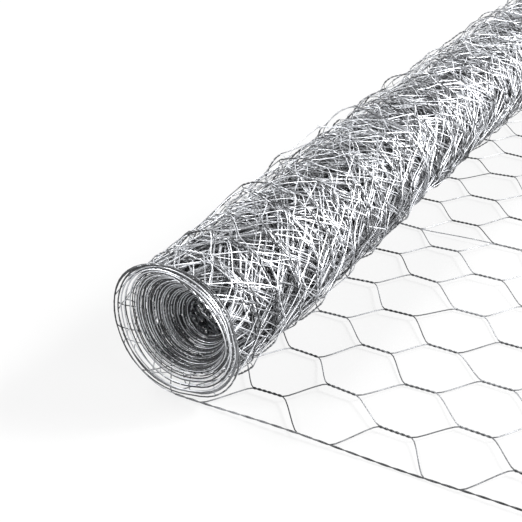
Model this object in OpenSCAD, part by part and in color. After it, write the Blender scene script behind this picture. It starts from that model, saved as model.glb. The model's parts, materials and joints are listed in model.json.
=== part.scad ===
// Roll of hexagonal wire netting, lying on the floor with its end pulled out flat.
// X runs the way the netting unrolls, Y along the roll and Z up, from the middle of the footprint.

/* [Netting] */
// Width of the netting from selvage to selvage
netting_w = 914.4; // [300:25.4:1219.2]
// Width of one cell, measured across from twist to twist
mesh_w = 50.8; // [38.1:12.7:76.2]
// Length of one cell row, from a twist to the next one in the same column
row_pitch = 77; // [60:1:100]
// Length of each twisted joint
twist_len = 19.5; // [12:0.5:26]
// Diameter of the mesh wire
wire_d = 0.9; // [0.6:0.1:1.2]
// Diameter of the straight wire pair in each selvage
selvage_d = 1.3; // [1:0.1:1.6]
// How far the cell rows lean towards the roll for each millimetre across the netting
row_lean = 0.07; // [0:0.01:0.12]

/* [Roll] */
// Outside diameter of the roll
roll_d = 79; // [70:1:110]
// Diameter of the hole down the middle
bore_d = 24; // [16:1:30]
// Number of slack outer turns, which stand apart on the side away from the pulled end
slack_turns = 5; // [2:1:8]
// Number of tight turns round the bore
tight_turns = 29; // [10:1:36]
// How far the tight turns have slipped along the roll, innermost turn to outermost
slip = 25; // [5:1:40]
// How far the tight turns lie off the middle of the slack ones
core_shift = 6.5; // [2:0.5:12]
// Wall that the slack turns make where they are pressed together
slack_wall = 3.5; // [2:0.5:6]

/* [Unrolled sheet] */
// Length of netting pulled out past the middle of the roll
pulled_len = 300; // [150:5:600]
// Length of netting lying flat behind the middle of the roll
tucked_len = 12; // [8:1:20]

/* [Fits] */
// Clearance between the roll and the netting that it lies on
seat_gap = 0.2; // [0.1:0.05:0.5]

/* [Hidden] */

zinc = [0.66, 0.68, 0.70];
zinc_light = [0.76, 0.78, 0.80];
wire_sides = 6;
flat_down = 180 / wire_sides;
round_fn = 96;

// A twist is two wires wound round each other, so it is two wires thick
twist_d = 2 * wire_d;
sheet_t = twist_d;
edge_half = twist_d / cos(flat_down) / 2;
columns = round(netting_w / (mesh_w / 2));
column_step = netting_w / columns;
// Each wire leaves its twist beside the joint's middle, from a little inside its end
wire_inset = wire_d;
wire_side = 0.55 * wire_d;

roll_r = roll_d / 2;
bore_r = bore_d / 2;
core_r = roll_r - core_shift - slack_wall;
// Height of a turn's edge above the groove beside it, and half the width of that groove
turn_edge = 0.7 * wire_d;
groove_half = 0.35 * wire_d;

axis_x = (roll_r - pulled_len) / 2;
axis_z = sheet_t + seat_gap + roll_r;
front_y = -(netting_w + slip - edge_half) / 2;
back_y = front_y + netting_w;
sheet_x0 = axis_x - tucked_len;
sheet_x1 = axis_x + pulled_len;

function across(column) = front_y + column * column_step;

// Start of a twist: odd columns sit half a row on from the even ones
function twist_x(column, row) =
    axis_x + (row + (column % 2) / 2) * row_pitch - row_lean * column * column_step;

// Edge of the tight turns from the outermost to the bore: a crest for each turn, a valley between two
function turn_edges(y0, out) = [
    for (i = [0 : 2 * tight_turns])
        let (along = i / (2 * tight_turns))
        [core_r + (bore_r - core_r) * along, y0 + slip * along + out * turn_edge * (i % 2)]
];

// Straight wire from one point of the netting to another, as [x, y], cut at both ends of the sheet
module wire(from, to, d) {
    run = to - from;
    near = (sheet_x0 + d / 2 - from.x) / run.x;
    far = (sheet_x1 - d / 2 - from.x) / run.x;
    a = max(0, min(near, far));
    b = min(1, max(near, far));
    if (b > a) {
        start = from + a * run;
        translate([start.x, start.y, sheet_t / 2])
            rotate([0, 90, atan2(run.y, run.x)])
                rotate([0, 0, flat_down])
                    cylinder(h = norm(run) * (b - a), d = d / cos(flat_down), $fn = wire_sides);
    }
}

// One twisted joint, on the lengthwise line of its column
module twist(column, row) {
    x = twist_x(column, row);
    wire([x, across(column)], [x + twist_len, across(column)], twist_d);
}

// The two slanting wires that leave a twist's far end for the next columns' twists
module cell_wires(column, row) {
    for (side = [-1, 1]) {
        next = column + side;
        next_row = row + (column % 2);
        if (next >= 0 && next <= columns)
            wire(
                [twist_x(column, row) + twist_len - wire_inset, across(column) + side * wire_side],
                [twist_x(next, next_row) + wire_inset, across(next) - side * wire_side],
                wire_d
            );
    }
}

// Netting pulled out flat: twists, slanting wires and a straight selvage along each edge
module unrolled_sheet() {
    lean_rows = ceil(row_lean * netting_w / row_pitch);
    first_row = floor(-tucked_len / row_pitch) - 1;
    last_row = ceil(pulled_len / row_pitch) + lean_rows;
    color(zinc_light)
        union() {
            for (column = [0 : columns], row = [first_row : last_row]) {
                twist(column, row);
                cell_wires(column, row);
            }
            for (y = [front_y, back_y])
                wire([sheet_x0, y], [sheet_x1, y], selvage_d);
        }
}

// Groove between two slack turns on an end of the roll, which faces the way that out points
module slack_groove(i, y0, out) {
    share = i / slack_turns;
    r = roll_r + (core_r - roll_r) * share;
    translate([core_shift * share, 0, 0])
        rotate_extrude($fn = round_fn)
            polygon([
                [r - groove_half, y0 + out * turn_edge],
                [r - groove_half, y0],
                [r, y0 - out * turn_edge],
                [r + groove_half, y0],
                [r + groove_half, y0 + out * turn_edge]
            ]);
}

// Hollow that the slipped turns leave at the front end, and the bore that goes on from it
module slipped_hollow() {
    rotate_extrude($fn = round_fn)
        polygon(concat(
            [[0, front_y - slip], [core_r, front_y - slip]],
            turn_edges(front_y, -1),
            [[bore_r, back_y + 2 * slip], [0, back_y + 2 * slip]]
        ));
}

// Nose that the same turns make at the back end
module slipped_nose() {
    rotate_extrude($fn = round_fn)
        polygon(concat(
            [[0, back_y - slip], [core_r, back_y - slip]],
            turn_edges(back_y, 1),
            [[0, back_y + slip]]
        ));
}

// Netting still wound up: slack turns outside, and tight turns that have slipped along the roll
module wound_roll() {
    color(zinc)
        translate([axis_x, 0, axis_z])
            rotate([-90, 0, 0])
                difference() {
                    union() {
                        translate([0, 0, front_y])
                            cylinder(h = netting_w, r = roll_r, $fn = round_fn);
                        translate([core_shift, 0, 0]) slipped_nose();
                    }
                    translate([core_shift, 0, 0]) slipped_hollow();
                    for (i = [1 : slack_turns - 1]) {
                        slack_groove(i, front_y, -1);
                        slack_groove(i, back_y, 1);
                    }
                }
}

wound_roll();
unrolled_sheet();
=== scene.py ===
"""Roll of hexagonal wire netting, lying on the floor with its end pulled out flat.

The netting is one continuous lattice of wires. Each wire runs to and fro between two columns of twists,
and in each twist it is wound round its neighbour. The lattice is laid out flat, and a winding carries it
into the row frame: along the floor where it is pulled out, and round and round where it is still rolled up.
"""

import json
import logging
import math
from dataclasses import dataclass, field
from enum import Enum

import bmesh
import bpy
import numpy as np
from mathutils import Matrix, Vector


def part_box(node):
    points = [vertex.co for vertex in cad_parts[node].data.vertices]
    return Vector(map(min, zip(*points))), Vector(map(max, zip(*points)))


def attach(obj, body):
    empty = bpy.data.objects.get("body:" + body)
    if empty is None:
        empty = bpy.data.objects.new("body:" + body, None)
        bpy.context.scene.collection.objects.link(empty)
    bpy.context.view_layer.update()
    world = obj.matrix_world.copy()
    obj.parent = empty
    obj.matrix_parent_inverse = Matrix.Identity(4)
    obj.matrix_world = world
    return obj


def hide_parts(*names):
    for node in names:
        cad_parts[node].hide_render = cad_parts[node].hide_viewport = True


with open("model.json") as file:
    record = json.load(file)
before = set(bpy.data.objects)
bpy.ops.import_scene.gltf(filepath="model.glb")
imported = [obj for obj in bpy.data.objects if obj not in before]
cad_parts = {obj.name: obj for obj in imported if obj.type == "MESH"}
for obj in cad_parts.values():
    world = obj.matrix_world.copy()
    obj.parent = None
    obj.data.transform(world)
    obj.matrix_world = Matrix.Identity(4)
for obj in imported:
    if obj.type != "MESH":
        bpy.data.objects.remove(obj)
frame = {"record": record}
log = logging.getLogger("netting")

MM = 0.001
FULL_TURN = 2 * math.pi
PHOTO_PIXELS = 522

# Tightness of the outermost turn, of the first tight turn and of the innermost turn.
STAGES = (0.0, 1.0, 2.0)

# Bend radius of netting that lies flat, in metres.
FLAT_BEND_R = 1000.0

# Lengths along the netting, distances across, heights and tones of a wire's points.
WirePath = tuple[np.ndarray, np.ndarray, np.ndarray, np.ndarray]

Colour = tuple[float, float, float, float]


class Side(Enum):
    """Which selvage of the netting: the one at the hollow end of the roll, or the one at its nose."""

    HOLLOW_END = 0
    NOSE_END = 1


@dataclass(frozen=True)
class Detail:
    """How finely a stretch of wire is drawn.

    Attributes:
        sides: Faces round a wire.
        twist_steps: Steps along the wire in a twist.
        slant_steps: Steps along the wire from one twist to the next.
        shine: How much brighter the wire is than the outermost wires.
        joint_dullness: How much duller the wire is in a twist than between twists.
        wound: Whether the two wires of a twist are wound round each other, or lie side by side.
    """

    sides: int
    twist_steps: int
    slant_steps: int
    shine: float = 0.0
    joint_dullness: float = 0.35
    wound: bool = True


FINE = Detail(sides=6, twist_steps=21, slant_steps=6, shine=-0.4, joint_dullness=0.15)
MEDIUM = Detail(sides=4, twist_steps=15, slant_steps=5)
COARSE = Detail(sides=3, twist_steps=12, slant_steps=4)
BARE = Detail(sides=3, twist_steps=3, slant_steps=2, wound=False)


@dataclass(frozen=True)
class Ripple:
    """A smooth random field over two lengths, made of a few sine waves.

    Attributes:
        seed: Seed of the waves' directions and phases.
        shortest: Shortest wavelength, in metres.
        longest: Longest wavelength, in metres.
        waves: Number of waves.
    """

    seed: int
    shortest: float
    longest: float
    waves: int = 9

    def at(self, a: np.ndarray, b: np.ndarray) -> np.ndarray:
        """Reads the field.

        Args:
            a: First length, in metres.
            b: Second length, in metres.

        Returns:
            Values mostly between -1 and 1.
        """
        rng = np.random.default_rng(self.seed)
        total = np.zeros(np.broadcast(a, b).shape)
        for _ in range(self.waves):
            turn = rng.uniform(0, FULL_TURN)
            wave = FULL_TURN / rng.uniform(self.shortest, self.longest)
            phase = rng.uniform(0, FULL_TURN)
            total += np.sin(wave * (a * math.cos(turn) + b * math.sin(turn)) + phase)
        return total / math.sqrt(self.waves)


def smooth_step(low: float, high: float, value: np.ndarray) -> np.ndarray:
    """Rises smoothly from 0 at low to 1 at high."""
    share = np.clip((np.asarray(value, float) - low) / (high - low), 0, 1)
    return share * share * (3 - 2 * share)


def from_least(least: float, share: np.ndarray) -> np.ndarray:
    """Squeezes shares from 0 to 1 into the range from a least value to 1."""
    return least + (1 - least) * share


def facing(angle: np.ndarray, middle: float, narrowness: int) -> np.ndarray:
    """Falls from 1 at a middle angle to 0 half a turn away, sooner for a higher narrowness."""
    return (0.5 + 0.5 * np.cos(angle - middle)) ** narrowness


@dataclass(frozen=True)
class Mouth:
    """How the slack turns lie at the roll's ends, against round turns about one middle.

    Attributes:
        shift: How far the first tight turn lies off the middle of the outermost one, along X.
        rise: How far it lies above that middle.
        pull: How far it is pulled out on one side.
        pull_angle: Angle round the roll at which it is pulled out most.
        pull_narrowness: How narrow the side is that is pulled out.
        pull_shares: Shares of the pull on the outermost turn, the first tight one and the innermost one.
    """

    shift: float = 5.3 * MM
    rise: float = 5.4 * MM
    pull: float = 5 * MM
    pull_angle: float = math.radians(136)
    pull_narrowness: int = 8
    pull_shares: tuple[float, float, float] = (0.5, 1.0, 0.0)


@dataclass(frozen=True)
class RimSlip:
    """How the rims of the turns have slipped along the roll, out of one plane.

    Attributes:
        step: How far into the roll the outermost rim has slipped on one side. The next ones slip less.
        out: How far out of the roll all the slack rims are pushed there.
        out_end: Tightness between which that push ends.
        run: Distance from the hollow end over which the slip on that side dies out.
        angle: Angle round the roll at which the rims have slipped most.
        narrowness: How narrow that side is.
        start: Turns over which the slip sets in.
        slack_wander: How far the slack turns wander along the roll.
        tight_wander: How far the tight turns wander.
        wander_start: Turns between which the wandering sets in.
        wander: Field of the wandering.
    """

    step: float = 9.5 * MM
    out: float = 6 * MM
    out_end: tuple[float, float] = (1.0, 1.35)
    run: float = 200 * MM
    angle: float = math.radians(222)
    narrowness: int = 4
    start: float = 0.4
    slack_wander: float = 0.8 * MM
    tight_wander: float = 0.25 * MM
    wander_start: tuple[float, float] = (0.5, 1.0)
    wander: Ripple = Ripple(seed=14, shortest=120 * MM, longest=500 * MM)


@dataclass(frozen=True)
class Springing:
    """How far the rolled netting springs off its spiral: in loops, in bulges low down, and in a ripple.

    Attributes:
        loop_height: Height of the outermost turn's loops.
        loop_depth: Turns inwards over which the loops and bulges shrink to about a third.
        loop_start: Angle round the roll at which the half turn starts where the netting is free to loop.
        loop_rise: Sines of the angle past that, between which the loops rise to their full height.
        loop_run: Distance from the hollow end over which the loops grow.
        loop_least: Share of their height at the hollow end.
        loop_gain: How much more they grow all the way to the nose.
        loop_mean: Mean of the uneven heights.
        loop_spread: Spread of the uneven heights.
        bulge_height: Height of the bulges beside the netting that is pulled out.
        bulge_angle: Angle round the roll at which they are highest.
        bulge_rise: Cosines of the angle from there, between which they rise to their full height.
        bulge_run: Distance from the hollow end at which they end.
        bulge_hold: Share of that distance over which they keep their height.
        bulge_least: Share of a bulge that isn't uneven.
        slack_ripple: Height of the ripple in the slack turns.
        tight_ripple: Height of the ripple in the tight turns.
        ripple_change: Turns before and past the last slack one, between which the ripple changes.
        ripple_start: Turns between which the ripple sets in.
        ripple_run: Distance from the hollow end over which the ripple grows.
        ripple_least: Share of the ripple at the hollow end.
        loops: Field of the loops.
        ripples: Field of the ripple.
    """

    loop_height: float = 11.0 * MM
    loop_depth: float = 6.5
    loop_start: float = 0.22 * math.pi
    loop_rise: tuple[float, float] = (0.5, 1.0)
    loop_run: float = 240 * MM
    loop_least: float = 0.12
    loop_gain: float = 0.5
    loop_mean: float = 0.8
    loop_spread: float = 0.25
    bulge_height: float = 4.5 * MM
    bulge_angle: float = 1.68 * math.pi
    bulge_rise: tuple[float, float] = (0.7, 1.0)
    bulge_run: float = 300 * MM
    bulge_hold: float = 0.4
    bulge_least: float = 0.3
    slack_ripple: float = 1.3 * MM
    tight_ripple: float = 0.8 * MM
    ripple_change: tuple[float, float] = (1.0, 2.0)
    ripple_start: tuple[float, float] = (0.02, 0.15)
    ripple_run: float = 110 * MM
    ripple_least: float = 0.3
    loops: Ripple = Ripple(seed=11, shortest=26 * MM, longest=70 * MM)
    ripples: Ripple = Ripple(seed=12, shortest=30 * MM, longest=120 * MM)


@dataclass
class Winding:
    """Carries the flat netting into the row frame, along the floor and then round the roll.

    A place on the netting is its length along from the line under the roll's middle, which is negative
    where the netting is rolled up, its distance across from the hollow end's selvage, and its height
    above the netting's middle, towards the inside of the roll. An angle round the roll is 0 underneath,
    a quarter turn on the side away from the flat netting, and half a turn on top.

    Attributes:
        axis_x: Middle of the slack turns, along X.
        axis_z: Middle of the slack turns, above the floor.
        front_y: Hollow end's selvage of the outermost turn, along Y.
        floor_z: Height of the netting's middle where it lies flat.
        outer_r: Radius of the outermost turn.
        core_r: Radius of the outermost tight turn.
        bore_r: Radius of the innermost turn at the roll's ends.
        sprung_r: Radius of the innermost turn between the ends, where the netting springs outwards.
        core_shift: How far the tight turns lie off the middle of the slack ones.
        slip: How far the innermost turn has slipped along the roll.
        width: Width of the netting.
        slack_turns: Number of turns that are slack at the roll's ends.
        tight_turns: Number of tight turns.
        slack_shares: How far in each slack turn lies, as shares of the way to the tight turns.
        pairing: Share of a turn at which each slack turn starts on its way to the next.
        moves: Shares of a turn, from there on, between which it moves inwards.
        end_run: How far in from an end the turns stay slack. Between the ends they are evenly spaced.
        bunching: Length of netting in a turn, as a share of the turn's own length.
        steps_per_turn: Steps in which the length of a turn is measured.
        settle_turns: Turns over which the netting settles from the floor into the outermost turn.
        lowest: Least height of a wire's middle above the floor.
        lift_height: How far the flat netting stands off the floor.
        lift_run: Length over which it starts to stand off, next to the roll.
        lifts: Field of the flat netting's height.
        mouth: How the slack turns lie at the roll's ends.
        rims: How the rims of the turns have slipped.
        springing: How far the rolled netting springs off its spiral.
    """

    axis_x: float
    axis_z: float
    front_y: float
    floor_z: float
    outer_r: float
    core_r: float
    bore_r: float
    sprung_r: float
    core_shift: float
    slip: float
    width: float
    slack_turns: float = 11.0
    tight_turns: float = 46.0
    slack_shares: tuple[float, ...] = (0.0, 0.0, 0.15, 0.15, 0.32, 0.48, 0.50, 0.70, 0.78, 0.84, 0.92, 1.0)
    pairing: float = 0.2
    moves: tuple[tuple[float, float], ...] = ((0.2, 0.55), (0.8, 1.0))
    end_run: float = 30 * MM
    bunching: float = 1.08
    steps_per_turn: int = 180
    settle_turns: float = 0.12
    lowest: float = 0.5 * MM
    lift_height: float = 2.0 * MM
    lift_run: float = 45 * MM
    lifts: Ripple = Ripple(seed=13, shortest=90 * MM, longest=260 * MM)
    mouth: Mouth = Mouth()
    rims: RimSlip = RimSlip()
    springing: Springing = Springing()

    def __post_init__(self) -> None:
        """Works out how long the netting is at each angle round the spiral."""
        self.turn_table = np.linspace(0, self.turns, int(self.turns * self.steps_per_turn) + 1)
        x, z = self.spiral(self.turn_table, np.array(self.width / 2))
        steps = np.hypot(np.diff(x), np.diff(z))
        self.length_table = self.bunching * np.concatenate([[0.0], np.cumsum(steps)])

    @property
    def turns(self) -> float:
        """Number of turns in all."""
        return self.slack_turns + self.tight_turns

    @property
    def rolled_length(self) -> float:
        """Length of netting on the roll."""
        return float(self.length_table[-1])

    def length_to(self, turn: float) -> float:
        """Length of netting from the line under the roll to a turn, counted inwards."""
        return float(np.interp(turn, self.turn_table, self.length_table))

    def turn_at(self, along: np.ndarray) -> np.ndarray:
        """Turns inwards at a length along the netting, which is 0 where it lies flat."""
        return np.interp(-along, self.length_table, self.turn_table)

    def tightness(self, turn: np.ndarray) -> np.ndarray:
        """Tells how far in a turn lies at the roll's ends.

        Args:
            turn: Turns inwards from the line under the roll.

        Returns:
            0 to 1 over the slack turns, and 1 to 2 over the tight ones.
        """
        starts = np.linspace(0, self.slack_turns, len(self.slack_shares))
        share = (turn - self.pairing) % 1.0
        moved = turn - self.pairing - share
        for move in self.moves:
            moved = moved + smooth_step(*move, share) / len(self.moves)
        slack = np.interp(moved, starts, self.slack_shares)
        return slack + np.clip(turn - self.slack_turns, 0, self.tight_turns) / self.tight_turns

    def slackness(self, across: np.ndarray) -> np.ndarray:
        """How slack the turns are at a distance across: 1 at the roll's ends and 0 well inside."""
        return 1 - smooth_step(0, self.end_run, np.minimum(across, self.width - across))

    def radius(self, turn: np.ndarray, across: np.ndarray) -> np.ndarray:
        """Measures the spiral, slack at the roll's ends and even between them.

        Args:
            turn: Turns inwards from the line under the roll.
            across: Distance across the netting.

        Returns:
            Radius of the spiral.
        """
        tangent_r = self.axis_z - self.floor_z
        outer = tangent_r + (self.outer_r - tangent_r) * smooth_step(0, self.settle_turns, turn)
        core, bore = self.core_r - self.outer_r, self.bore_r - self.outer_r
        slack = np.interp(self.tightness(turn), STAGES, (0, core, bore))
        even = (self.sprung_r - self.outer_r) * (turn / self.turns)
        return outer + even + (slack - even) * self.slackness(across)

    def spiral(self, turn: np.ndarray, across: np.ndarray) -> tuple[np.ndarray, np.ndarray]:
        """Places the spiral's line.

        Args:
            turn: Turns inwards from the line under the roll.
            across: Distance across the netting.

        Returns:
            X and Z in the row frame.
        """
        mouth = self.mouth
        angle = FULL_TURN * turn
        tight = self.tightness(turn)
        slackness = self.slackness(across)
        pull = mouth.pull * np.interp(tight, STAGES, mouth.pull_shares) * slackness
        pull = pull * facing(angle, mouth.pull_angle, mouth.pull_narrowness)
        radius = self.radius(turn, across) + pull
        slack = np.interp(tight, STAGES, (0, mouth.shift, self.core_shift))
        even = self.core_shift * turn / self.turns
        shift = even + (slack - even) * slackness
        rise = mouth.rise * np.interp(tight, STAGES, (0, 1, 0)) * slackness
        x = self.axis_x + shift - radius * np.sin(angle)
        return x, self.axis_z + rise - radius * np.cos(angle)

    def slipped(self, turn: np.ndarray, along: np.ndarray, across: np.ndarray) -> np.ndarray:
        """Slips the turns along the roll: the slack rims in steps, and the tight turns evenly.

        Args:
            turn: Turns inwards from the line under the roll.
            along: Length along the netting.
            across: Distance across the netting.

        Returns:
            How far the netting has slipped towards the nose.
        """
        rims = self.rims
        tight = self.tightness(turn)
        side = facing(FULL_TURN * turn, rims.angle, rims.narrowness)
        side = side * smooth_step(0, rims.start, turn) * (1 - smooth_step(0, rims.run, across))
        steps = rims.step * np.clip(1 - turn / self.slack_turns, 0, 1)
        sideways = side * (steps - rims.out * (1 - smooth_step(*rims.out_end, tight)))
        wander = np.interp(tight, STAGES[:2], (rims.slack_wander, rims.tight_wander))
        uneven = wander * rims.wander.at(along, 0 * along) * smooth_step(*rims.wander_start, turn)
        return self.slip * np.clip(tight - 1, 0, 1) + sideways + uneven

    def loosened(self, along: np.ndarray, across: np.ndarray, turn: np.ndarray) -> np.ndarray:
        """Springs the rolled netting off its spiral.

        Args:
            along: Length along the netting.
            across: Distance across the netting.
            turn: Turns inwards from the line under the roll.

        Returns:
            How far the netting stands off, outwards.
        """
        spring = self.springing
        angle = FULL_TURN * turn
        outermost = np.exp(-turn / spring.loop_depth)
        uneven = spring.loop_mean + spring.loop_spread * spring.loops.at(along, across)

        free = smooth_step(*spring.loop_rise, np.sin(angle - spring.loop_start))
        held = from_least(spring.loop_least, smooth_step(0, spring.loop_run, across))
        held = held + spring.loop_gain * across / self.width
        loops = spring.loop_height * outermost * free * uneven

        low = smooth_step(*spring.bulge_rise, np.cos(angle - spring.bulge_angle))
        low = low * (1 - smooth_step(spring.bulge_hold * spring.bulge_run, spring.bulge_run, across))
        bulges = spring.bulge_height * outermost * low * from_least(spring.bulge_least, uneven)

        before, past = spring.ripple_change
        slack = 1 - smooth_step(self.slack_turns - before, self.slack_turns + past, turn)
        height = spring.tight_ripple + (spring.slack_ripple - spring.tight_ripple) * slack
        ripple = height * spring.ripples.at(along, across) * smooth_step(*spring.ripple_start, turn)
        ripple = ripple * from_least(spring.ripple_least, smooth_step(0, spring.ripple_run, across))
        return held * loops + ripple + bulges

    def lifted(self, along: np.ndarray, across: np.ndarray) -> np.ndarray:
        """How far the flat netting stands off the floor."""
        share = np.clip(0.5 + 0.5 * self.lifts.at(along, across), 0, None)
        return self.lift_height * share * smooth_step(0, self.lift_run, along)

    def place(
        self, along: np.ndarray, across: np.ndarray, height: np.ndarray
    ) -> tuple[np.ndarray, np.ndarray]:
        """Carries places on the netting into the row frame.

        Args:
            along: Length along the netting.
            across: Distance across the netting.
            height: Height above its middle, towards the inside of the roll.

        Returns:
            Points, and the direction of height at each point.
        """
        turn = self.turn_at(along)
        angle = FULL_TURN * turn
        x, z = self.spiral(turn, across)
        up = height - self.loosened(along, across, turn)
        inward_x, inward_z = np.sin(angle), np.cos(angle)
        flat = along > 0
        level = np.where(flat, self.floor_z + height + self.lifted(along, across), z + up * inward_z)
        points = np.stack([
            np.where(flat, self.axis_x + along, x + up * inward_x),
            self.front_y + across + self.slipped(turn, along, across),
            np.maximum(level, self.lowest),
        ], axis=-1)
        normals = np.stack([
            np.where(flat, 0.0, inward_x),
            np.zeros_like(along),
            np.where(flat, 1.0, inward_z),
        ], axis=-1)
        return points, normals


@dataclass(frozen=True)
class Looseness:
    """How far the twists lie from their places in a perfect lattice.

    Attributes:
        seed: Seed of the random draws.
        along: Spread of a twist's place along the netting.
        across: Spread of its place across the netting.
        turn: Spread of its angle.
        height: Spread of its height.
        rolled: How many times as much the twists stray on the roll.
        sway: How far whole stretches of the rolled netting sway.
        sway_run: Length over which the sway grows, from the floor and from the hollow end.
        sways: Fields of the sway along and across the netting.
        drawn_in: How far the flat netting is drawn towards the roll.
        gather: How far some columns of the flat netting are drawn towards the hollow end.
        gather_column: Column that is drawn most.
        gather_columns: Columns on either side over which that dies out.
        gather_start: Share of the gather in the row next to the roll.
        gather_growth: What each further row adds to that share.
    """

    seed: int = 12665
    along: float = 1.1 * MM
    across: float = 1.1 * MM
    turn: float = math.radians(3.5)
    height: float = 0.6 * MM
    rolled: float = 1.5
    sway: float = 4.5 * MM
    sway_run: float = 120 * MM
    sways: tuple[Ripple, ...] = (Ripple(16, 90 * MM, 320 * MM), Ripple(17, 90 * MM, 320 * MM))
    drawn_in: float = 0.5 * MM
    gather: float = 3.0 * MM
    gather_column: float = 8.0
    gather_columns: float = 4.5
    gather_start: float = 0.6
    gather_growth: float = 0.4


@dataclass(frozen=True)
class Shading:
    """How bright the zinc is from wire to wire, as a tone low where it is dark, plus painted shade and
    light.

    Attributes:
        spread: Lowest and highest tone of a mesh wire's runs.
        flat_share: Share of that spread on the flat netting.
        painted_depth_shade: Painted shade that darkens the deep turns, where little light reaches.
        depth_shade_turns: Turns between which that painted shade sets in.
        painted_bore_light: Painted light that brightens the innermost turns round the bore.
        bore_light_turns: Turns between which that painted light sets in.
        drift: How far the tone drifts along a lengthwise wire.
        drifts: Field of that drift.
        line: Tone of the straight wire in one column's twists.
        painted_rim_contrast: Difference between rims with a painted highlight and rims with painted shade.
        rim_middle: Share of that difference by which the highlighted rims are lighter than the mean.
        rim_start: Turns over which the contrast sets in.
        rim_turn: Share of a turn at which one rim ends and the next starts.
        rim_rhythm: Step from rim to rim in the cycle of highlighted and shaded ones.
        bright_share: Share of that cycle in which a rim gets the painted highlight.
        shaded_outer_turns: Turns from the outside that get painted shade all round.
    """

    spread: tuple[float, float] = (-0.3, 1.3)
    flat_share: float = 0.5
    painted_depth_shade: float = 0.5
    depth_shade_turns: tuple[float, float] = (12.0, 30.0)
    painted_bore_light: float = 0.8
    bore_light_turns: tuple[float, float] = (44.0, 50.0)
    drift: float = 0.45
    drifts: Ripple = Ripple(seed=15, shortest=60 * MM, longest=400 * MM)
    line: float = 0.3
    painted_rim_contrast: float = 1.7
    rim_middle: float = 0.35
    rim_start: float = 0.2
    rim_turn: float = 0.65
    rim_rhythm: float = 0.43
    bright_share: float = 0.42
    shaded_outer_turns: float = 1.65

    def drifting(self, tone: float, along: np.ndarray) -> np.ndarray:
        """Tones along a lengthwise wire."""
        return tone + self.drift * self.drifts.at(along, 0 * along)

    def depth_shaded(self, tone: np.ndarray, turn: np.ndarray) -> np.ndarray:
        """Tones of mesh wires at a turn: painted shade deep in the roll, and painted light round its bore.
        """
        painted_shade = self.painted_depth_shade * smooth_step(*self.depth_shade_turns, turn)
        return tone - painted_shade + self.painted_bore_light * smooth_step(*self.bore_light_turns, turn)

    def rim(self, tone: float, along: np.ndarray, turn: np.ndarray) -> np.ndarray:
        """Paints shade and highlights on a selvage, seen on the roll's ends as shaded and bright rims.

        Args:
            tone: Tone of the selvage.
            along: Length along the netting.
            turn: Turns inwards from the line under the roll.

        Returns:
            Tones along the selvage.
        """
        # The rims picked as dull here get painted shade, and the others a painted highlight.
        dull = np.floor(turn - self.rim_turn) * self.rim_rhythm % 1.0 > self.bright_share
        dull = dull | (turn < self.shaded_outer_turns)
        contrast = self.painted_rim_contrast * smooth_step(0, self.rim_start, turn)
        return self.drifting(tone, along) - contrast * (dull - self.rim_middle)


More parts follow.
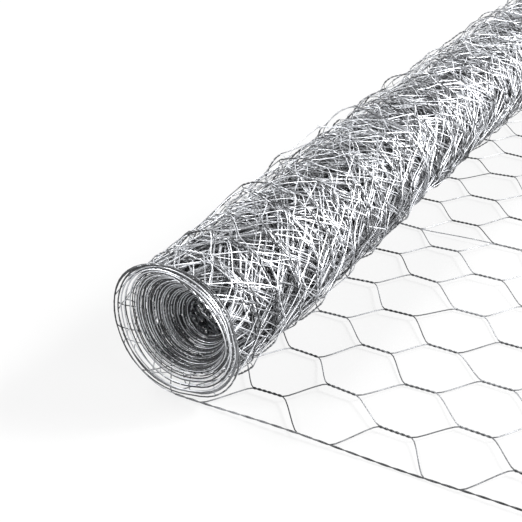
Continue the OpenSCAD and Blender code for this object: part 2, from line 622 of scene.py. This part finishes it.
@dataclass
class Netting:
    """The flat lattice: columns of twists, and the wires that run between them.

    Attributes:
        width: Width from selvage to selvage.
        pulled_length: Length of netting that lies flat, past the line under the roll.
        winding: What carries the lattice into the row frame.
        columns: Steps from selvage to selvage, with a column of twists at each end of a step.
        row_pitch: Length from a twist to the next one in its column.
        twist_length: Length of a twist.
        twist_turns: Turns of the wires round each other in a twist.
        wire_r: Radius of the mesh wire.
        edge_wrap: How far a mesh wire lies from a selvage's middle, in radii of the wire.
        selvage_r: Radius of the selvage, which is two wires wound together.
        selvage_pitch: Length of one turn of those wires.
        selvage_step: Length of a step along a lengthwise wire.
        lean: How far the rows lean towards the roll for each metre across.
        corner: How softly a wire bends from a twist into a slant.
        line_column: Column with a straight wire in its twists.
        outside_stiffness: How straight a twist stays on the slack turns.
        inside_stiffness: How straight a twist stays on the innermost turn.
        looseness: How far the twists lie from their places.
        shading: How bright the wires are.
    """

    width: float
    pulled_length: float
    winding: Winding
    columns: int = 36
    row_pitch: float = 77 * MM
    twist_length: float = 19.5 * MM
    twist_turns: int = 3
    wire_r: float = 0.38 * MM
    edge_wrap: float = 0.5
    selvage_r: float = 0.62 * MM
    selvage_pitch: float = 18 * MM
    selvage_step: float = 5 * MM
    lean: float = 0.07
    corner: float = 0.30
    line_column: int = 11
    outside_stiffness: float = 0.9
    inside_stiffness: float = 0.35
    looseness: Looseness = Looseness()
    shading: Shading = Shading()

    def __post_init__(self) -> None:
        """Draws where each twist lies, and how bright each run of wire is."""
        self.step = self.width / self.columns
        self.first_row = -math.ceil(self.winding.rolled_length / self.row_pitch) - 1
        lean_rows = math.ceil(self.lean * self.width / self.row_pitch)
        self.last_row = math.ceil(self.pulled_length / self.row_pitch) + lean_rows
        rng = np.random.default_rng(self.looseness.seed)
        self.strays = self._strays(rng)
        self.tones = rng.uniform(*self.shading.spread, size=(self.columns, len(self.strays), 2))
        self.tones[:, -self.first_row:] *= self.shading.flat_share

    def _strays(self, rng: np.random.Generator) -> np.ndarray:
        """Draws how far each twist is from its place in a perfect lattice.

        Args:
            rng: Source of the random draws.

        Returns:
            Strays along, across, in angle and in height, by row and column.
        """
        loose = self.looseness
        flat_rows, rolled_rows = self.last_row + 2, -self.first_row
        column = np.arange(self.columns + 1)
        flat = rng.normal(size=(flat_rows, self.columns + 1, 4))
        rolled = rng.normal(size=(rolled_rows, self.columns + 1, 4))
        spread = (loose.along, loose.across, loose.turn, loose.height)
        strays = np.concatenate([loose.rolled * rolled, flat]) * spread

        wound = np.arange(self.first_row, 0)[:, None] * self.row_pitch
        across = column[None, :] * self.step
        sway = loose.sway * smooth_step(0, loose.sway_run, -wound) * smooth_step(0, loose.sway_run, across)
        for axis, ripple in enumerate(loose.sways):
            strays[:rolled_rows, :, axis] += sway * ripple.at(wound, across)

        away = (column - loose.gather_column) / loose.gather_columns
        growing = loose.gather_start + loose.gather_growth * np.arange(flat_rows)
        flat_strays = strays[rolled_rows:]
        flat_strays[:, :, 0] -= loose.drawn_in
        flat_strays[:, :, 1] -= loose.gather * np.exp(-away**2) * growing[:, None]
        flat_strays[:, :, 3] = np.abs(flat_strays[:, :, 3])
        strays[:, [0, self.columns], 1:] = 0.0
        return strays

    def twist_start(self, column: np.ndarray, row: np.ndarray) -> np.ndarray:
        """Length along the netting at which a twist starts, in a perfect lattice."""
        return (row + (column % 2) / 2) * self.row_pitch - self.lean * column * self.step

    def stiffness(self, turn: np.ndarray) -> np.ndarray:
        """How straight a twist stays at a turn: 1 is a straight bar and 0 follows the roll."""
        shares = (self.outside_stiffness, self.outside_stiffness, self.inside_stiffness)
        return np.interp(self.winding.tightness(turn), STAGES, shares)

    def mesh_wire(self, wire: int, rows: range, detail: Detail, wire_r: float) -> WirePath:
        """Lays one wire over some rows, to and fro between its two columns.

        Args:
            wire: Number of the wire, from the hollow end's selvage.
            rows: Rows that the wire runs through.
            detail: How finely it is drawn.
            wire_r: Radius of the wire.

        Returns:
            The wire's path.
        """
        even = wire + wire % 2
        odd = wire + 1 - wire % 2
        count = 2 * len(rows) + 1
        column = np.where(np.arange(count) % 2 == 0, even, odd)
        row = rows.start + np.arange(count) // 2
        side = np.where(column == wire, 1.0, -1.0)
        stray_along, stray_across, tilt, lift = self.strays[row - self.first_row, column].T
        middle = self.twist_start(column, row) + self.twist_length / 2 + stray_along
        centre = column * self.step + stray_across
        inside = (column > 0) & (column < self.columns)
        wound_r = np.where(inside, wire_r, self.edge_wrap * wire_r)
        turn = self.winding.turn_at(middle)
        bend_r = np.where(middle > 0, FLAT_BEND_R, self.winding.radius(turn, centre))
        stiff = self.stiffness(turn) * inside

        share = np.linspace(0, 1, detail.twist_steps + 1)
        reach = (share - 0.5)[None, :] * self.twist_length
        phase = (FULL_TURN * self.twist_turns * detail.wound * share)[None, :]
        straight = stiff[:, None] * (np.sqrt(bend_r[:, None] ** 2 + reach**2) - bend_r[:, None])
        twists = np.stack([
            middle[:, None] + reach * np.cos(tilt)[:, None],
            centre[:, None] + reach * np.sin(tilt)[:, None]
            + side[:, None] * wound_r[:, None] * np.cos(phase),
            lift[:, None] + side[:, None] * wound_r[:, None] * np.sin(phase) - straight,
        ], axis=-1)
        slants = self._slants(twists, tilt, stiff, bend_r, detail.slant_steps)
        runs = np.concatenate([twists[:-1], slants], axis=1)
        path = np.concatenate([runs.reshape(-1, 3), twists[-1:, 0]])

        tone = self.tones[wire, row - self.first_row, np.arange(count) % 2][:-1] + detail.shine
        # Painted shade on the deep turns, and painted light on the turns round the bore.
        tone = self.shading.depth_shaded(tone, turn[:-1])
        joint = np.arange(runs.shape[1]) <= detail.twist_steps
        tone = (tone[:, None] - detail.joint_dullness * joint).ravel()
        return path[:, 0], path[:, 1], path[:, 2], np.append(tone, tone[-1])

    def _slants(
        self, twists: np.ndarray, tilt: np.ndarray, stiff: np.ndarray, bend_r: np.ndarray, steps: int
    ) -> np.ndarray:
        """Bends a wire from the end of each twist to the start of the next.

        Args:
            twists: Points of each twist.
            tilt: Angle of each twist.
            stiff: How straight each twist stays on the roll.
            bend_r: Radius of the roll at each twist.
            steps: Steps along each slant.

        Returns:
            Points of each slant, without those of the twists at its ends.
        """
        start, end = twists[:-1, -1], twists[1:, 0]
        chord = end - start
        length = np.linalg.norm(chord, axis=1)[:, None]
        way = np.stack([np.cos(tilt), np.sin(tilt), np.zeros(len(tilt))], axis=-1)
        leave, arrive = way[:-1] * length * self.corner, way[1:] * length * self.corner
        q = np.linspace(0, 1, steps + 1)[1:-1][None, :, None]
        slants = (
            (2 * q**3 - 3 * q**2 + 1) * start[:, None]
            + (q**3 - 2 * q**2 + q) * leave[:, None]
            + (3 * q**2 - 2 * q**3) * end[:, None]
            + (q**3 - q**2) * arrive[:, None]
        )
        sag = stiff[:-1] * chord[:, 0] ** 2 / (8 * bend_r[:-1])
        slants[:, :, 2] += sag[:, None] * 4 * (q * (1 - q))[:, :, 0]
        return slants

    def selvage_wire(
        self, side: Side, strand: int, rows: range, step: float, wound_r: float, tone: float
    ) -> WirePath:
        """Lays a straight wire along a selvage, or one of two that are wound together.

        Args:
            side: Which selvage.
            strand: Which wire of the pair, 0 or 1.
            rows: Rows that the wire runs through.
            step: Length of a step along the wire.
            wound_r: How far the wire lies from the selvage's middle.
            tone: Tone of the selvage.

        Returns:
            The wire's path.
        """
        column = self.columns * side.value
        start = float(self.twist_start(np.array(column), np.array(rows.start)))
        end = float(self.twist_start(np.array(column), np.array(rows.stop)))
        steps = max(2, round((end - start) / step))
        along = np.linspace(start, end, steps + 1)
        phase = FULL_TURN * along / self.selvage_pitch + math.pi * strand
        across = column * self.step + wound_r * np.cos(phase)
        # Painted shade and painted highlights on the rims.
        tones = self.shading.rim(tone, along, self.winding.turn_at(along))
        return along, across, wound_r * np.sin(phase), tones

    def line_wire(self, rows: range, detail: Detail) -> WirePath:
        """Lays the straight wire that runs lengthwise through one column's twists.

        Args:
            rows: Rows that the wire runs through.
            detail: How finely it is drawn.

        Returns:
            The wire's path.
        """
        column = self.line_column
        row = np.arange(rows.start, rows.stop + 1)
        stray_along, stray_across, tilt, lift = self.strays[row - self.first_row, column].T
        middle = self.twist_start(np.array(column), row) + self.twist_length / 2 + stray_along
        centre = column * self.step + stray_across
        reach = self.twist_length / 2 * np.array([-1.0, 1.0])
        ends = (middle[:, None] + reach * np.cos(tilt)[:, None]).ravel()[:-1]
        beside = (centre[:, None] + reach * np.sin(tilt)[:, None]).ravel()[:-1]
        steps = max(2, round((ends[-1] - ends[0]) / self.selvage_step))
        along = np.linspace(ends[0], ends[-1], steps + 1)
        across = np.interp(along, ends, beside)
        height = np.interp(along, ends, np.repeat(lift, 2)[:-1])
        return along, across, height, self.shading.drifting(self.shading.line + detail.shine, along)

    def trimmed(self, path: WirePath) -> tuple[np.ndarray, ...]:
        """Cuts a wire off at both ends of the netting.

        Args:
            path: The wire's path.

        Returns:
            The path of the stretch that is left, or nothing.
        """
        along = path[0]
        kept = (along >= -self.winding.rolled_length) & (along <= self.pulled_length)
        first, last = np.argmax(kept), len(kept) - np.argmax(kept[::-1])
        return tuple(values[first:last] for values in path) if kept.any() else ()


@dataclass
class WireMesh:
    """Gathers many wires as round tubes and makes them one mesh, with a map that lays each wire in a strip.

    Attributes:
        sides: Faces round a wire.
        strips: Number of strips on the map.
        margin: Share of a strip that is left free on either side.
        cap_place: How far from the end of its strip a wire's end is on the map.
        cap_r: Radius of a wire's end on the map.
        vertices: Points of each wire.
        quads: Vertices of each wire's side faces.
        corners: Places of those faces' corners on the map.
        caps: Vertices of each wire's end faces.
        cap_corners: Places of those faces' corners on the map.
        tones: Tone of each vertex.
        count: Number of vertices so far.
    """

    sides: int
    strips: int
    margin: float = 0.04
    cap_place: float = 0.002
    cap_r: float = 0.0015
    vertices: list[np.ndarray] = field(default_factory=list)
    quads: list[np.ndarray] = field(default_factory=list)
    corners: list[np.ndarray] = field(default_factory=list)
    caps: list[np.ndarray] = field(default_factory=list)
    cap_corners: list[np.ndarray] = field(default_factory=list)
    tones: list[np.ndarray] = field(default_factory=list)
    count: int = 0

    def add(
        self, radius: float, points: np.ndarray, normals: np.ndarray, tone: np.ndarray, strip: int
    ) -> None:
        """Adds one wire.

        Args:
            radius: Radius of the wire.
            points: Points along the wire.
            normals: Direction that is about square to the wire at each point.
            tone: Tone of the wire at each point.
            strip: Number of the wire's strip on the map.
        """
        sides, rings = self.sides, len(points)
        tangent = np.gradient(points, axis=0)
        tangent /= np.linalg.norm(tangent, axis=1)[:, None]
        beside = np.cross(tangent, normals)
        beside /= np.linalg.norm(beside, axis=1)[:, None]
        above = np.cross(beside, tangent)
        angle = FULL_TURN * np.arange(sides) / sides
        ring = (
            np.cos(angle)[None, :, None] * beside[:, None] + np.sin(angle)[None, :, None] * above[:, None]
        )
        self.vertices.append((points[:, None] + radius * ring).reshape(-1, 3))
        self.tones.append(np.repeat(tone, sides))

        here = np.arange(rings - 1)[:, None] * sides
        this = np.arange(sides)[None, :]
        after = (this + 1) % sides
        quads = np.stack([here + this, here + after, here + sides + after, here + sides + this], axis=-1)
        self.quads.append(self.count + quads.reshape(-1, 4))

        run = np.concatenate([[0.0], np.cumsum(np.linalg.norm(np.diff(points, axis=0), axis=1))])
        u = run / run[-1]
        v = (strip + self.margin + (1 - 2 * self.margin) * np.arange(sides + 1) / sides) / self.strips
        near, far, low, high = np.broadcast_arrays(u[:-1, None], u[1:, None], v[:-1], v[1:])
        spots = np.stack([
            np.stack([near, low], -1), np.stack([near, high], -1),
            np.stack([far, high], -1), np.stack([far, low], -1),
        ], axis=2)
        self.corners.append(spots.reshape(-1, 2))

        around = self.cap_r * np.stack([np.cos(angle), np.sin(angle)], axis=-1)
        ends = ((0, self.cap_place, -1), ((rings - 1) * sides, 1 - self.cap_place, 1))
        for ring_start, place, order in ends:
            self.caps.append(self.count + ring_start + np.arange(sides)[::order])
            self.cap_corners.append(np.array([place, (strip + 0.5) / self.strips]) + around[::order])
        self.count += rings * sides

    def to_object(self, name: str) -> bpy.types.Object:
        """Makes the gathered wires one object.

        Args:
            name: Name of the object.

        Returns:
            The new object, in the scene's collection.
        """
        vertices = np.concatenate(self.vertices)
        quads = np.concatenate(self.quads)
        caps = np.concatenate(self.caps)
        loops = np.concatenate([quads.ravel(), caps])
        sizes = np.concatenate([np.full(len(quads), 4), np.full(len(self.caps), self.sides)])
        mesh = bpy.data.meshes.new(name)
        mesh.vertices.add(len(vertices))
        mesh.vertices.foreach_set("co", vertices.astype(np.float32).ravel())
        mesh.loops.add(len(loops))
        mesh.loops.foreach_set("vertex_index", loops.astype(np.int32))
        mesh.polygons.add(len(sizes))
        mesh.polygons.foreach_set("loop_start", (np.cumsum(sizes) - sizes).astype(np.int32))
        mesh.polygons.foreach_set("use_smooth", np.concatenate([
            np.ones(len(quads), bool), np.zeros(len(self.caps), bool),
        ]))
        mesh.update(calc_edges=True)
        layer = mesh.uv_layers.new(name="OFBake")
        spots = np.concatenate(self.corners + self.cap_corners)
        layer.uv.foreach_set("vector", spots.astype(np.float32).ravel())
        tone = mesh.attributes.new("tone", "FLOAT", "POINT")
        tone.data.foreach_set("value", np.concatenate(self.tones).astype(np.float32))
        mesh.validate()
        piece = bpy.data.objects.new(name, mesh)
        bpy.context.scene.collection.objects.link(piece)
        return piece


class Socket:
    """A shader value that takes part in sums: each operator adds a Math node."""

    def __init__(self, tree: "ShaderTree", socket: bpy.types.NodeSocket) -> None:
        """Wraps one output socket of a tree."""
        self.tree = tree
        self.socket = socket

    def _math(self, operation: str, first: object, second: object) -> "Socket":
        """Adds a Math node on two values."""
        return self.tree.node("ShaderNodeMath", {"operation": operation}, {0: first, 1: second})["Value"]

    def __add__(self, other: object) -> "Socket":
        """Adds a value."""
        return self._math("ADD", self, other)

    def __sub__(self, other: object) -> "Socket":
        """Takes a value away."""
        return self._math("SUBTRACT", self, other)

    def __rsub__(self, other: object) -> "Socket":
        """Is taken away from a value."""
        return self._math("SUBTRACT", other, self)

    def __mul__(self, other: object) -> "Socket":
        """Multiplies by a value."""
        return self._math("MULTIPLY", self, other)

    __radd__ = __add__
    __rmul__ = __mul__


class ShaderTree:
    """Builds one node tree."""

    def __init__(self, tree: bpy.types.NodeTree) -> None:
        """Empties the tree and starts it again."""
        self.tree = tree
        tree.nodes.clear()

    def node(
        self, kind: str, settings: dict[str, object] | None = None, sockets: dict | None = None
    ) -> dict[str, Socket]:
        """Adds a node.

        Args:
            kind: Type of the node.
            settings: Properties of the node, which are set first. A ramp's stops are under "stops".
            sockets: Values or links of the input sockets, by name or number.

        Returns:
            The node's output sockets by name.
        """
        made = self.tree.nodes.new(kind)
        for name, value in (settings or {}).items():
            if name == "stops":
                for element, (position, colour) in zip(self._stops(made, len(value)), value):
                    element.position = position
                    element.color = colour
            else:
                setattr(made, name, value)
        for name, value in (sockets or {}).items():
            if isinstance(value, Socket):
                self.tree.links.new(value.socket, made.inputs[name])
            else:
                made.inputs[name].default_value = value
        return {output.name: Socket(self, output) for output in made.outputs if output.enabled}

    @staticmethod
    def _stops(ramp: bpy.types.Node, count: int) -> list[bpy.types.ColorRampElement]:
        """Gives a ramp as many stops as it needs.

        Args:
            ramp: The ramp's node.
            count: Number of stops.

        Returns:
            The ramp's stops.
        """
        while len(ramp.color_ramp.elements) < count:
            ramp.color_ramp.elements.new(1.0)
        return list(ramp.color_ramp.elements)


@dataclass(frozen=True)
class Mottle:
    """One size of blotches in the zinc.

    Attributes:
        scale: Blotches for each metre.
        detail: Finer octaves of blotches within them.
        roughness: How strong the finer octaves are.
        weight: How much the blotches change the shade.
    """

    scale: float
    detail: float
    roughness: float
    weight: float

    def shade(self, tree: ShaderTree, place: Socket) -> Socket:
        """Adds the blotches to a tree.

        Args:
            tree: The material's tree.
            place: Place on the object.

        Returns:
            What the blotches add to the shade.
        """
        noise = tree.node("ShaderNodeTexNoise", {}, {
            "Vector": place, "Scale": self.scale, "Detail": self.detail, "Roughness": self.roughness,
        })
        return noise["Fac" if "Fac" in noise else "Factor"] * self.weight


@dataclass(frozen=True)
class GalvanisedWire:
    """A coat of zinc on drawn wire: bright runs, dull patches, wire-to-wire differences, painted light and
    shade.

    Attributes:
        dark: Colour of the darkest zinc, also of the painted shade on shaded rims and deep turns.
        dull: Colour of dull zinc.
        bloom: Colour of zinc with a pale bloom.
        bright: Colour of bright zinc.
        stops: Shades at which those four colours lie.
        patches: Large blotches.
        flecks: Small blotches.
        tone_weight: How much a wire's tone changes the shade.
        darkening: What is taken off the shade.
        roughness: Roughness of the brightest zinc.
        roughness_spread: How much rougher the darkest zinc is.
        metallic: How metallic the coat is.
    """

    dark: Colour = (0.10, 0.102, 0.106, 1.0)
    dull: Colour = (0.22, 0.225, 0.235, 1.0)
    bloom: Colour = (0.595, 0.607, 0.632, 1.0)
    bright: Colour = (0.815, 0.83, 0.86, 1.0)
    stops: tuple[float, ...] = (0.0, 0.15, 0.55, 0.85)
    patches: Mottle = Mottle(scale=70.0, detail=3.0, roughness=0.55, weight=0.6)
    flecks: Mottle = Mottle(scale=900.0, detail=2.0, roughness=0.6, weight=0.35)
    tone_weight: float = 0.55
    darkening: float = 0.25
    roughness: float = 0.42
    roughness_spread: float = 0.16
    metallic: float = 1.0

    def material(self) -> bpy.types.Material:
        """Makes the material.

        Returns:
            The new material.
        """
        made = bpy.data.materials.new("galvanised_wire")
        made.use_nodes = True
        tree = ShaderTree(made.node_tree)
        place = tree.node("ShaderNodeTexCoord")["Object"]
        # The tone holds random differences from wire to wire, and painted shade and painted light on rims
        # and turns.
        tone = tree.node("ShaderNodeAttribute", {"attribute_name": "tone"})["Fac"]
        shade = tone * self.tone_weight + self.patches.shade(tree, place) + self.flecks.shade(tree, place)
        shade = shade - self.darkening
        colours = (self.dark, self.dull, self.bloom, self.bright)
        coat = tree.node(
            "ShaderNodeValToRGB", {"stops": list(zip(self.stops, colours))}, {"Fac": shade}
        )["Color"]
        rough = self.roughness + self.roughness_spread * (1 - shade)
        shader = tree.node("ShaderNodeBsdfPrincipled", {}, {
            "Base Color": coat, "Roughness": rough, "Metallic": self.metallic,
        })["BSDF"]
        tree.node("ShaderNodeOutputMaterial", {}, {"Surface": shader})
        return made


@dataclass
class NettingPiece:
    """A stretch of the netting that is one object.

    Attributes:
        name: Name of the object.
        node: CAD node that it stands for.
        rows: Rows of the lattice that it holds.
        detail: How finely its wires are drawn.
        wire_r: Radius of the mesh wires.
        rim_r: Radius of each wire drawn along a selvage.
        rim_tone: Tone of the selvages.
        strands: Wires drawn along each selvage: both of the pair, or one that stands for them.
    """

    name: str
    node: str
    rows: range
    detail: Detail
    wire_r: float
    rim_r: float
    rim_tone: float
    strands: int = 1

    def build(self, netting: Netting) -> bpy.types.Object:
        """Builds the stretch.

        Args:
            netting: The netting that it is part of.

        Returns:
            The new object.
        """
        wires = [
            netting.mesh_wire(wire, self.rows, self.detail, self.wire_r) for wire in range(netting.columns)
        ]
        wires.append(netting.line_wire(self.rows, self.detail))
        radii = [self.wire_r] * len(wires)
        step = netting.selvage_step / self.strands
        wound_r = self.rim_r * (self.strands - 1)
        for side in Side:
            for strand in range(self.strands):
                wires.append(netting.selvage_wire(side, strand, self.rows, step, wound_r, self.rim_tone))
                radii.append(self.rim_r)
        mesh = WireMesh(self.detail.sides, len(wires))
        for strip, (path, radius) in enumerate(zip(wires, radii)):
            left = netting.trimmed(path)
            if left and len(left[0]) > 2:
                points, normals = netting.winding.place(*left[:3])
                mesh.add(radius, points, normals, left[3], strip)
        return mesh.to_object(self.name)

    def dress(self, piece: bpy.types.Object, finish: bpy.types.Material) -> None:
        """Gives the stretch its finish and ties it to the frame.

        Args:
            piece: The stretch's object.
            finish: Material of its wires.
        """
        piece.data.materials.append(finish)
        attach(piece, "root")
        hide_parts(self.node)


@dataclass
class Roll:
    """The whole roll, sized from the frame.

    Attributes:
        mouth_depth: How far in from the outside the tight turns start at the roll's ends.
        packed_depth: How far in the innermost turn lies between the ends.
        outer_turns: Turns from the outside that are drawn finely.
        middle_turns: Turns from the outside after which the wires are drawn plainly.
        layer_pieces: Pieces that each of these layers of turns is cut into.
        rolled_wire_r: Radius of the mesh wires in the outer and middle turns.
        inner_wire_r: Radius of the mesh wires in the inner turns, where one stands for several.
        outer_rim_r: Radius of the selvages in the outer turns.
        rim_r: Radius of the selvages in the other turns.
        rim_tone: Tone of the selvages on the roll.
        flat_tone: Tone of the selvages on the flat netting.
    """

    mouth_depth: float = 11.0 * MM
    packed_depth: float = 16 * MM
    outer_turns: float = 9.0
    middle_turns: float = 17.0
    layer_pieces: int = 2
    rolled_wire_r: float = 0.34 * MM
    inner_wire_r: float = 0.60 * MM
    outer_rim_r: float = 0.46 * MM
    rim_r: float = 0.40 * MM
    rim_tone: float = 0.5
    flat_tone: float = -0.8

    def __post_init__(self) -> None:
        """Reads the sizes of the CAD part."""
        roll_low, roll_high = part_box("wound_roll")
        sheet_low, sheet_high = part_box("unrolled_sheet")
        bore = next(m for m in frame["record"]["mounts"] if m["name"] == "core_bore")
        bore_r = bore["dims"]["r_mm"] * MM
        width = bore["dims"]["length_mm"] * MM
        roll_r = (roll_high.x - roll_low.x) / 2
        axis_x = (roll_high.x + roll_low.x) / 2
        wire_r = Netting.wire_r
        self.winding = Winding(
            axis_x=axis_x,
            axis_z=roll_high.z - roll_r,
            front_y=roll_low.y,
            floor_z=(sheet_low.z + sheet_high.z) / 2,
            outer_r=roll_r - 2 * wire_r,
            core_r=roll_r - self.mouth_depth,
            bore_r=bore_r + 2 * wire_r,
            sprung_r=roll_r - self.packed_depth,
            core_shift=bore["pos_m"][0] - axis_x,
            slip=roll_high.y - roll_low.y - width,
            width=width,
        )
        self.netting = Netting(
            width=width, pulled_length=sheet_high.x - axis_x, winding=self.winding
        )

    def pieces(self) -> list[NettingPiece]:
        """Shares the netting's rows out among the pieces.

        Returns:
            The pieces, from the pulled end inwards.
        """
        netting = self.netting
        outer, middle = (
            -math.ceil(self.winding.length_to(turn) / netting.row_pitch)
            for turn in (self.outer_turns, self.middle_turns)
        )
        flat = NettingPiece(
            "unrolled_netting", "unrolled_sheet", range(0, netting.last_row), FINE,
            netting.wire_r, netting.selvage_r / 2, self.flat_tone, strands=2,
        )
        return [
            flat,
            *self._layer("outer_turns", outer, 0, MEDIUM, self.rolled_wire_r, self.outer_rim_r),
            *self._layer("middle_turns", middle, outer, COARSE, self.rolled_wire_r, self.rim_r),
            *self._layer("inner_turns", netting.first_row, middle, BARE, self.inner_wire_r, self.rim_r),
        ]

    def _layer(
        self, name: str, first: int, last: int, detail: Detail, wire_r: float, rim_r: float
    ) -> list[NettingPiece]:
        """Cuts a layer of turns into pieces of about the same length.

        Args:
            name: Name of the layer.
            first: First row, which is the innermost one.
            last: Row after the last one.
            detail: How finely the wires are drawn.
            wire_r: Radius of the mesh wires.
            rim_r: Radius of the selvages.

        Returns:
            The pieces, numbered from the outside in.
        """
        count = self.layer_pieces
        cuts = [round(last + (first - last) * i / count) for i in range(count + 1)]
        return [
            NettingPiece(
                f"{name}_{i + 1}", "wound_roll", range(cuts[i + 1], cuts[i]), detail,
                wire_r, rim_r, self.rim_tone,
            )
            for i in range(count)
        ]


@dataclass(frozen=True)
class Lamp:
    """A square soft lamp that shines on the roll.

    Attributes:
        name: Name of the lamp.
        place: Where it hangs, in the row frame.
        size: Length of its sides, in metres.
        power: Its power, in watts.
    """

    name: str
    place: tuple[float, float, float]
    size: float
    power: float

    def hang(self) -> None:
        """Hangs the lamp, turned to the middle of the roll."""
        lamp = bpy.data.lights.new(self.name, "AREA")
        lamp.size = self.size
        lamp.energy = self.power
        holder = bpy.data.objects.new(self.name, lamp)
        holder.location = self.place
        holder.rotation_euler = (-Vector(self.place)).to_track_quat("-Z", "Y").to_euler()
        bpy.context.scene.collection.objects.link(holder)


@dataclass
class Studio:
    """Floor, lamps, sky and camera.

    Attributes:
        eye: Where the camera stands, in the row frame.
        ahead: The way it looks.
        beside: The way that is to the right in the picture.
        focal_pixels: Focal length in pixels of the picture.
        sensor: Width of the camera's sensor, in millimetres.
        nearest: Least distance at which the camera sees.
        floor_half: Half the length of the floor's sides.
        floor_colour: Colour of the floor.
        floor_white: Share of plain white in what the camera and the wires see of the floor.
        sky_colour: Colour of the light from all round.
        sky_strength: Strength of that light.
        lamps: The lamps.
    """

    eye: Vector = field(default_factory=lambda: Vector((0.1625, -0.9081, 0.3559)))
    ahead: Vector = field(default_factory=lambda: Vector((-0.4257, 0.7817, -0.4558)))
    beside: Vector = field(default_factory=lambda: Vector((0.8738, 0.4859, 0.0173)))
    focal_pixels: float = 1107.9
    sensor: float = 36.0
    nearest: float = 10 * MM
    floor_half: float = 6.0
    floor_colour: Colour = (0.45, 0.45, 0.45, 1.0)
    floor_white: float = 0.78
    sky_colour: Colour = (1.0, 1.0, 1.0, 1.0)
    sky_strength: float = 0.1
    lamps: tuple[Lamp, ...] = (
        Lamp("key_lamp", (3.8, 3.5, 4.0), size=1.4, power=600.0),
        Lamp("soft_lamp", (4.2, 3.6, 2.4), size=3.6, power=560.0),
        Lamp("side_lamp", (-2.0, -2.6, 2.4), size=1.2, power=105.0),
        Lamp("low_lamp", (3.6, -0.9, 1.3), size=2.0, power=85.0),
        Lamp("rear_lamp", (-2.2, 0.1, 2.2), size=1.2, power=95.0),
    )

    def build(self) -> None:
        """Sets the scene up round the roll."""
        self._floor()
        self._sky()
        for lamp in self.lamps:
            lamp.hang()
        self._camera()
        bpy.context.scene.view_settings.view_transform = "Standard"

    def _floor(self) -> None:
        """Lays a plain pale floor."""
        shape = bmesh.new()
        bmesh.ops.create_grid(shape, x_segments=1, y_segments=1, size=self.floor_half)
        mesh = bpy.data.meshes.new("floor")
        shape.to_mesh(mesh)
        shape.free()
        floor = bpy.data.objects.new("floor", mesh)
        bpy.context.scene.collection.objects.link(floor)
        paint = bpy.data.materials.new("floor_paint")
        paint.use_nodes = True
        tree = ShaderTree(paint.node_tree)
        diffuse = tree.node("ShaderNodeBsdfDiffuse", {}, {"Color": self.floor_colour})["BSDF"]
        white = tree.node("ShaderNodeEmission", {}, {"Strength": 1.0})["Emission"]
        path = tree.node("ShaderNodeLightPath")
        seen = path["Is Camera Ray"] + path["Is Glossy Ray"] + path["Is Transmission Ray"]
        shader = tree.node("ShaderNodeMixShader", {}, {
            "Fac": seen * self.floor_white, 1: diffuse, 2: white,
        })["Shader"]
        tree.node("ShaderNodeOutputMaterial", {}, {"Surface": shader})
        mesh.materials.append(paint)

    def _sky(self) -> None:
        """Surrounds the roll with soft light."""
        world = bpy.data.worlds.new("studio")
        world.use_nodes = True
        bpy.context.scene.world = world
        tree = ShaderTree(world.node_tree)
        light = tree.node("ShaderNodeBackground", {}, {
            "Color": self.sky_colour, "Strength": self.sky_strength,
        })["Background"]
        tree.node("ShaderNodeOutputWorld", {}, {"Surface": light})

    def _camera(self) -> None:
        """Sets the camera at the photograph's viewing angle."""
        lens = bpy.data.cameras.new("camera")
        lens.sensor_width = self.sensor
        lens.lens = self.sensor * self.focal_pixels / PHOTO_PIXELS
        lens.clip_start = self.nearest
        back = -self.ahead.normalized()
        over = back.cross(self.beside).normalized()
        right = over.cross(back)
        camera = bpy.data.objects.new("camera", lens)
        turned = Matrix((right, over, back)).transposed().to_4x4()
        camera.matrix_world = Matrix.Translation(self.eye) @ turned
        bpy.context.scene.collection.objects.link(camera)
        bpy.context.scene.camera = camera


def corners(box: tuple[Vector, Vector]) -> list[list[float]]:
    """A box as plain lists of numbers."""
    return [list(corner) for corner in box]


def main() -> None:
    """Builds the roll and the studio, and logs each piece's triangles and the length of netting on the
    roll.
    """
    logging.basicConfig(level=logging.INFO, format="%(message)s")
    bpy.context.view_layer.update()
    Studio().build()
    roll = Roll()
    finish = GalvanisedWire().material()
    for part in roll.pieces():
        piece = part.build(roll.netting)
        part.dress(piece, finish)
        triangles = sum(len(face.vertices) - 2 for face in piece.data.polygons)
        log.info("%s: %d triangles", part.name, triangles)
    log.info("netting on the roll: %.2f m", roll.winding.rolled_length)


if __name__ == "__main__":
    main()
